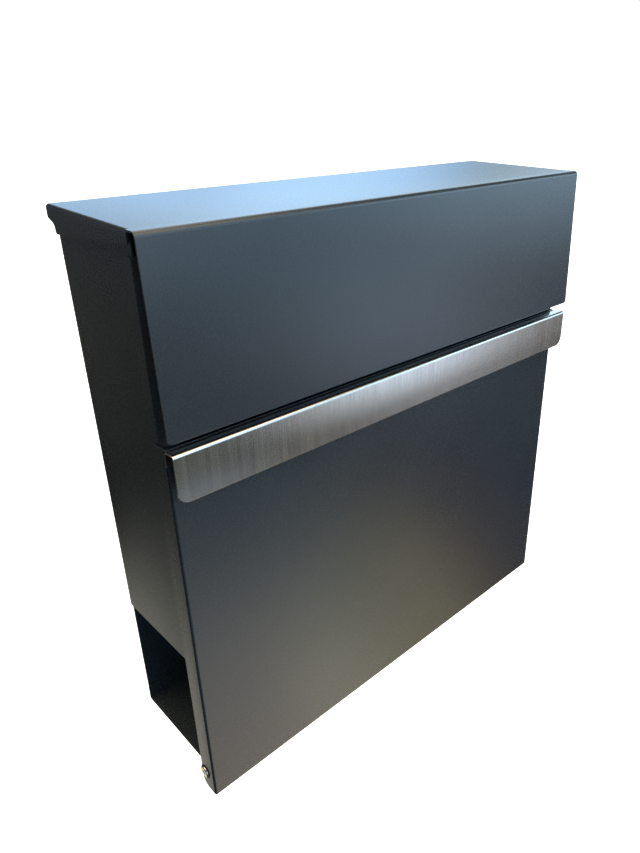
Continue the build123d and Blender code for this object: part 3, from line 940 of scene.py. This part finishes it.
class MAILBOX_OT_lid_hinge(Operator):
    """The hinge rod, its push-on washers and the brackets under the roof"""

    bl_idname = "mailbox.lid_hinge"
    bl_label = "Lid hinge"

    def execute(self, context):
        sizes = context.scene.mailbox_sizes
        steps = sizes.round_steps
        axis = joint_place("lid_hinge")
        low, high = node_box("lid_hinge_rod")
        origin = Vector((0, axis.y, axis.z))
        radius, rim, width = 2 * MM, 3.5 * MM, 0.6 * MM
        rod = [(0, low.x), (radius, low.x), (radius, high.x), (0, high.x)]
        bm = turned(rod, origin, X, steps // 2, [(1, 0.5 * MM), (2, 0.5 * MM)])
        place_piece(bm, "hinge_rod", "box", "zinc_steel", ["lid_hinge_rod"], edge=0.1 * MM)
        end = node_box("rod_washers")[1].x
        bm = mirrored_apart(ring(origin, X, radius, rim, end - width, end, steps // 2))
        place_piece(bm, "rod_end_washers", "box", "zinc_steel", ["rod_washers"], edge=0.12 * MM)

        roof = Roof(sizes)
        outer = node_box("lid_hinge_ears")[1].x
        thickness = sizes.bracket_sheet
        under = (roof.height(axis.y) - sizes.sheet / cos(roof.slope) - axis.z) * cos(roof.slope)
        bend = thickness + 0.5 * MM
        foot_length, foot_width, half = 16 * MM, 12 * MM, 4 * MM
        bm = bmesh.new()

        def under_roof(x, along):
            return Vector((x, axis.y, axis.z)) + roof.up * under - roof.forward * along

        places = (-foot_length, -half, half)
        row = chain(bm, [under_roof(outer - foot_width, along) for along in places])
        row = pull(bm, row, X * (foot_width - bend))
        ear = edges_where(row, lambda at: (at - axis).dot(-roof.forward) > -half)
        flange(bm, ear, X, -roof.up, bend, sizes.bend_steps, under - bend + half)
        bm = thicken(bm, roof.up, thickness)
        foot = Vector((outer - thickness / 2, axis.y, axis.z)) - roof.up * half
        corners = [foot + roof.forward * side * half for side in (-1, 1)]
        bm = round_corners(bm, corners, 3.6 * MM, reach=2 * MM)
        hole = drill(axis + X * outer, X, 2.05 * MM, 9 * MM)
        bm = mirrored_apart(cut(bm, [hole]))
        place_piece(bm, "lid_hinge_brackets", "lid", "zinc_steel", ["lid_hinge_ears"], edge=0.2 * MM)
        return {"FINISHED"}


class MAILBOX_OT_lock(Operator):
    """The cam lock: threaded housing, nut, plug with its keyway, cam, washer and screw"""

    bl_idname = "mailbox.lock"
    bl_label = "Lock"

    def execute(self, context):
        steps = context.scene.mailbox_sizes.round_steps
        centre = joint_place("lock_turn")
        low, high = node_box("lock_housing")
        origin = Vector((centre.x, 0, centre.z))
        panel = node_box("fascia")[0].y
        outer, barrel, bore = 10 * MM, 9 * MM, 6.55 * MM
        profile = [(bore, low.y), (outer, low.y), (outer, panel), (barrel, panel)]
        pitch, groove = 1 * MM, 0.5 * MM
        along = panel + 1.5 * MM
        while along + pitch < high.y:
            profile += [(barrel, along), (barrel - groove, along + pitch / 2)]
            along += pitch
        profile += [(barrel, along), (barrel, high.y), (bore, high.y)]
        bm = turned(profile, origin, Y, steps, [(1, 0.9 * MM)], closed=True)
        place_piece(bm, "lock_body", "box", "lock_chrome", ["lock_housing"], edge=0.1 * MM)

        low, high = node_box("lock_nut")
        nut = hexagon_prism(origin + Y * low.y, Y, high.z - low.z, high.y - low.y, pi / 6)
        thread_bore = barrel + 0.05 * MM
        hole = cylinder_mesh(origin + Y * (low.y - MM), origin + Y * (high.y + MM), thread_bore, steps)
        place_piece(cut(nut, [hole]), "lock_ring_nut", "box", "zinc_steel", ["lock_nut"], edge=0.4 * MM)

        low, high = node_box("lock_plug")
        cam_low, cam_high = node_box("lock_cam")
        radius = 6.5 * MM
        profile = [(0, low.y), (radius, low.y), (radius, cam_low.y), (0, cam_low.y)]
        plug = turned(profile, origin, Y, steps, [(1, 0.4 * MM)])
        half = Vector((1.1 * MM, 0, 4.3 * MM))
        start, end = origin + Y * (low.y - MM), origin + Y * (low.y + 8 * MM)
        keyway = block_mesh(start - half, end + half)
        ward = block_mesh(start + Vector((0.6, 0, 1.2)) * MM, end + Vector((1.8, 0, 2.6)) * MM)
        plug = cut(plug, [keyway, ward])
        square = Vector((3.5 * MM, 0, 3.5 * MM))
        tail = block_mesh(origin + Y * cam_low.y - square, origin + Y * high.y + square)
        bm = join(plug, tail)
        place_piece(bm, "lock_barrel", "lock", "lock_chrome", ["lock_plug"], edge=0.12 * MM)

        width = cam_high.z - cam_low.z
        cam = block_mesh(cam_low, cam_high)
        for x, rounding in ((cam_low.x, width / 2 - 0.2 * MM), (cam_high.x, width / 4)):
            ends = [e for e in cam.edges if all(abs(v.co.x - x) < TOUCH for v in e.verts)
                    and abs(e.verts[0].co.y - e.verts[1].co.y) > TOUCH]
            round_edges(cam, ends, rounding, 10)
        half = Vector((3.6 * MM, 0, 3.6 * MM))
        hole = block_mesh(origin + Y * (cam_low.y - MM) - half, origin + Y * (cam_high.y + MM) + half)
        cam = cut(cam, [hole])
        place_piece(cam, "lock_tongue", "lock", "zinc_steel", ["lock_cam"], edge=0.25 * MM)

        low, high = node_box("lock_cam_washer")
        bm = ring(origin, Y, 2.1 * MM, 5.5 * MM, low.y, high.y, steps)
        place_piece(bm, "tongue_washer", "lock", "zinc_steel", ["lock_cam_washer"], edge=0.15 * MM)
        head_low, head_high = high.y, node_box("lock_cam_screw")[1].y
        head = hexagon_prism(origin + Y * head_low, Y, 7 * MM, head_high - head_low, pi / 6)
        place_piece(head, "tongue_screw", "lock", "zinc_steel", ["lock_cam_screw"], edge=0.35 * MM)
        return {"FINISHED"}


class MAILBOX_OT_catch(Operator):
    """The catch on the door that the lock's tongue drops into"""

    bl_idname = "mailbox.catch"
    bl_label = "Door catch"

    def execute(self, context):
        sizes = context.scene.mailbox_sizes
        low, high = node_box("door_catch")
        bend, lip = 3 * MM, 18 * MM
        bm = bmesh.new()
        row = chain(bm, [Vector((x, low.y, high.z)) for x in (low.x, high.x)])
        row = pull(bm, row, -Z * (high.z - low.z - bend))
        row = flange(bm, row, -Z, Y, bend, sizes.bend_steps, high.y - low.y - 2 * bend)
        flange(bm, row, Y, Z, bend, sizes.bend_steps, lip - bend)
        bm = thicken(bm, -Y, sizes.bracket_sheet)
        inset = sizes.bracket_sheet / 2
        corners = [(x, low.y + inset, high.z) for x in (low.x, high.x)]
        corners += [(x, high.y - inset, low.z + lip) for x in (low.x, high.x)]
        bm = round_corners(bm, corners, sizes.small_corner, reach=2 * MM)
        place_piece(bm, "catch_bracket", "door", "zinc_steel", ["door_catch"], edge=0.2 * MM)
        return {"FINISHED"}


class MAILBOX_OT_buffers(Operator):
    """The rubber buffers behind the apron and behind the door, and the wall spacers"""

    bl_idname = "mailbox.buffers"
    bl_label = "Buffers and spacers"

    def execute(self, context):
        steps = context.scene.mailbox_sizes.round_steps
        kinds = ("lid_bumpers", "apron_buffers", 5 * MM), ("door_bumpers", "door_buffers", 4 * MM)
        for node, name, radius in kinds:
            low, high = node_box(node)
            origin = Vector((high.x - radius, 0, (low.z + high.z) / 2))
            profile = [
                (0, low.y + 0.4 * MM), (radius * 0.55, low.y), (radius, low.y), (radius, high.y),
                (0, high.y)]
            bm = mirrored_apart(turned(profile, origin, Y, steps, [(2, 1.2 * MM)]))
            place_piece(bm, name, "box", "rubber", [node], edge=0.2 * MM)
        low, high = node_box("wall_spacers")
        spacers = bmesh.new()
        radius, bore, waist = 10 * MM, 3 * MM, 9.2 * MM
        rim, slope = 3 * MM, 0.6 * MM
        profile = [
            (bore, low.y), (radius, low.y), (radius, low.y + rim), (waist, low.y + rim + slope),
            (waist, high.y - rim - slope), (radius, high.y - rim), (radius, high.y), (bore, high.y)]
        for x in (low.x + radius, high.x - radius):
            for z in (low.z + radius, high.z - radius):
                spacers = join(spacers, turned(profile, Vector((x, 0, z)), Y, steps, closed=True))
        place_piece(spacers, "wall_standoffs", "box", "black_plastic", ["wall_spacers"], edge=0.4 * MM)
        return {"FINISHED"}


# The soft light round the mailbox: heading from straight behind it towards the right, height above
# the horizon, where it starts and stops to fade (all in degrees), and its colour times its strength.
SURROUNDINGS = (
    (0, 80, 10, 45, (3.70, 3.15, 2.30)),
    (146, 50, 10, 24, (3.40, 3.10, 2.40)),
    (122, 10, 4, 20, (1.80, 2.47, 3.08)),
    (140, 14, 6, 28, (0.82, 1.42, 1.95)),
    (170, 12, 6, 26, (1.71, 1.96, 2.41)),
    (137, -14, 3, 12, (0.77, 0.79, 0.80)),
    (129, -12, 3, 12, (0.42, 0.27, 0.13)),
    (133, -13, 2, 9, (0.60, 1.10, 1.75)),
    (166, -28, 4, 20, (0.10, 0.11, 0.05)),
    (150, -40, 4, 16, (0.09, 0.19, 0.42)),
    (154, -54, 6, 20, (1.79, 1.48, 1.05)),
    (134, -42, 4, 14, (1.34, 1.24, 0.62)),
    (127, -36, 3, 12, (0.17, 0.00, 0.00)),
    (28, 14, 6, 28, (0.28, 0.33, 0.00)),
    (46, 28, 6, 28, (1.41, 1.90, 2.23)),
    (40, 6, 4, 18, (0.00, 0.38, 1.30)),
    (76, 10, 5, 22, (1.01, 1.34, 1.75)),
    (16, 6, 4, 18, (0.63, 1.14, 2.04)),
    (-40, 12, 6, 30, (0.11, 0.15, 0.27)),
    (-8, -54, 6, 24, (0.74, 0.70, 0.57)),
    (-24, -44, 4, 18, (0.28, 0.29, 0.25)),
    (-24, -6, 6, 26, (0.10, 0.10, 0.08)),
    (28, 26, 4, 22, (0.11, 0.17, 0.60)),
    (200, 10, 8, 40, (0.62, 0.84, 1.05)),
)
AMBIENT = (0.01, 0.01, 0.01)


def studio_world(glows):
    """Surroundings that the camera sees as plain white, and that light the pieces with soft glows."""
    world = bpy.data.worlds.new("studio")
    world.use_nodes = True
    tree = world.node_tree
    tree.nodes.clear()

    def node(kind, **inputs):
        made = tree.nodes.new("ShaderNode" + kind)
        for key, value in inputs.items():
            made.inputs[key].default_value = value
        return made

    way = tree.nodes.new("ShaderNodeTexCoord").outputs["Generated"]
    total = None
    for heading, height, inner, outer, colour in glows:
        heading, height = radians(heading), radians(height)
        towards = (sin(heading) * cos(height), cos(heading) * cos(height), sin(height))
        facing = node("VectorMath")
        facing.operation = "DOT_PRODUCT"
        facing.inputs[1].default_value = towards
        tree.links.new(way, facing.inputs[0])
        fade = node("MapRange", **{"From Min": cos(radians(outer)), "From Max": cos(radians(inner))})
        fade.interpolation_type = "SMOOTHSTEP"
        tree.links.new(facing.outputs["Value"], fade.inputs["Value"])
        add = node("VectorMath")
        add.operation = "MULTIPLY_ADD"
        add.inputs[0].default_value = colour
        tree.links.new(fade.outputs["Result"], add.inputs[1])
        if total:
            tree.links.new(total, add.inputs[2])
        else:
            add.inputs[2].default_value = AMBIENT
        total = add.outputs["Vector"]
    light, white = node("Background"), node("Background", Color=(1, 1, 1, 1))
    tree.links.new(total, light.inputs["Color"])
    mix, ray, out = node("MixShader"), node("LightPath"), node("OutputWorld")
    tree.links.new(ray.outputs["Is Camera Ray"], mix.inputs[0])
    tree.links.new(light.outputs[0], mix.inputs[1])
    tree.links.new(white.outputs[0], mix.inputs[2])
    tree.links.new(mix.outputs[0], out.inputs["Surface"])
    return world


class MAILBOX_OT_stage(Operator):
    """The camera, a pale floor and soft studio surroundings"""

    bl_idname = "mailbox.stage"
    bl_label = "Stage"

    def execute(self, context):
        scene = context.scene
        stage, colours = scene.mailbox_stage, scene.mailbox_colours
        data = bpy.data.cameras.new("camera")
        data.lens = stage.lens
        data.sensor_width = 36
        camera = bpy.data.objects.new("camera", data)
        turn = (Matrix.Rotation(-stage.camera_heading, 4, "Z")
                @ Matrix.Rotation(pi / 2 - stage.camera_dip, 4, "X")
                @ Matrix.Rotation(stage.camera_roll, 4, "Z"))
        camera.matrix_world = Matrix.Translation(stage.camera_place) @ turn
        scene.collection.objects.link(camera)
        scene.camera = camera

        bm = bmesh.new()
        level = CAD_BOUNDS[0][2] - stage.floor_drop
        place = Matrix.Translation((0, 0, level))
        bmesh.ops.create_grid(bm, x_segments=1, y_segments=1, size=30, matrix=place)
        mesh = bpy.data.meshes.new("floor")
        bm.to_mesh(mesh)
        bm.free()
        floor = bpy.data.objects.new("floor", mesh)
        scene.collection.objects.link(floor)
        material = Finish("studio_floor")
        material.shader.inputs["Base Color"].default_value = (*colours.floor, 1)
        material.shader.inputs["Roughness"].default_value = 0.9
        material.shader.inputs["Emission Color"].default_value = (*colours.floor, 1)
        material.shader.inputs["Emission Strength"].default_value = 1.0
        mesh.materials.append(material.material)
        for ray in ("glossy", "diffuse", "transmission", "shadow"):
            setattr(floor, "visible_" + ray, False)
        scene.world = studio_world(SURROUNDINGS)
        scene.view_settings.view_transform = "Standard"
        return {"FINISHED"}


OPERATORS = (
    MAILBOX_OT_casing, MAILBOX_OT_mail_floor, MAILBOX_OT_newspaper_tray, MAILBOX_OT_upper_panel,
    MAILBOX_OT_lid, MAILBOX_OT_lid_hinge, MAILBOX_OT_door, MAILBOX_OT_grip_strip, MAILBOX_OT_rivets,
    MAILBOX_OT_catch, MAILBOX_OT_door_hinge, MAILBOX_OT_lock, MAILBOX_OT_buffers, MAILBOX_OT_stage,
)


class MAILBOX_PT_pieces(Panel):
    """Lists the pieces of the mailbox"""

    bl_idname = "MAILBOX_PT_pieces"
    bl_label = "Mailbox"
    bl_space_type = "VIEW_3D"
    bl_region_type = "UI"
    bl_category = "Mailbox"

    def draw(self, context):
        for operator in OPERATORS:
            self.layout.operator(operator.bl_idname)


GROUPS = {
    "mailbox_sizes": MailboxSizes, "mailbox_colours": MailboxColours, "mailbox_stage": MailboxStage}


def register():
    for cls in (*GROUPS.values(), *OPERATORS, MAILBOX_PT_pieces):
        bpy.utils.register_class(cls)
    for name, group in GROUPS.items():
        setattr(bpy.types.Scene, name, PointerProperty(type=group))


def unregister():
    for name in GROUPS:
        delattr(bpy.types.Scene, name)
    for cls in reversed((*GROUPS.values(), *OPERATORS, MAILBOX_PT_pieces)):
        bpy.utils.unregister_class(cls)


def main():
    register()
    for operator in OPERATORS:
        group, name = operator.bl_idname.split(".")
        getattr(getattr(bpy.ops, group), name)()


if __name__ == "__main__":
    main()
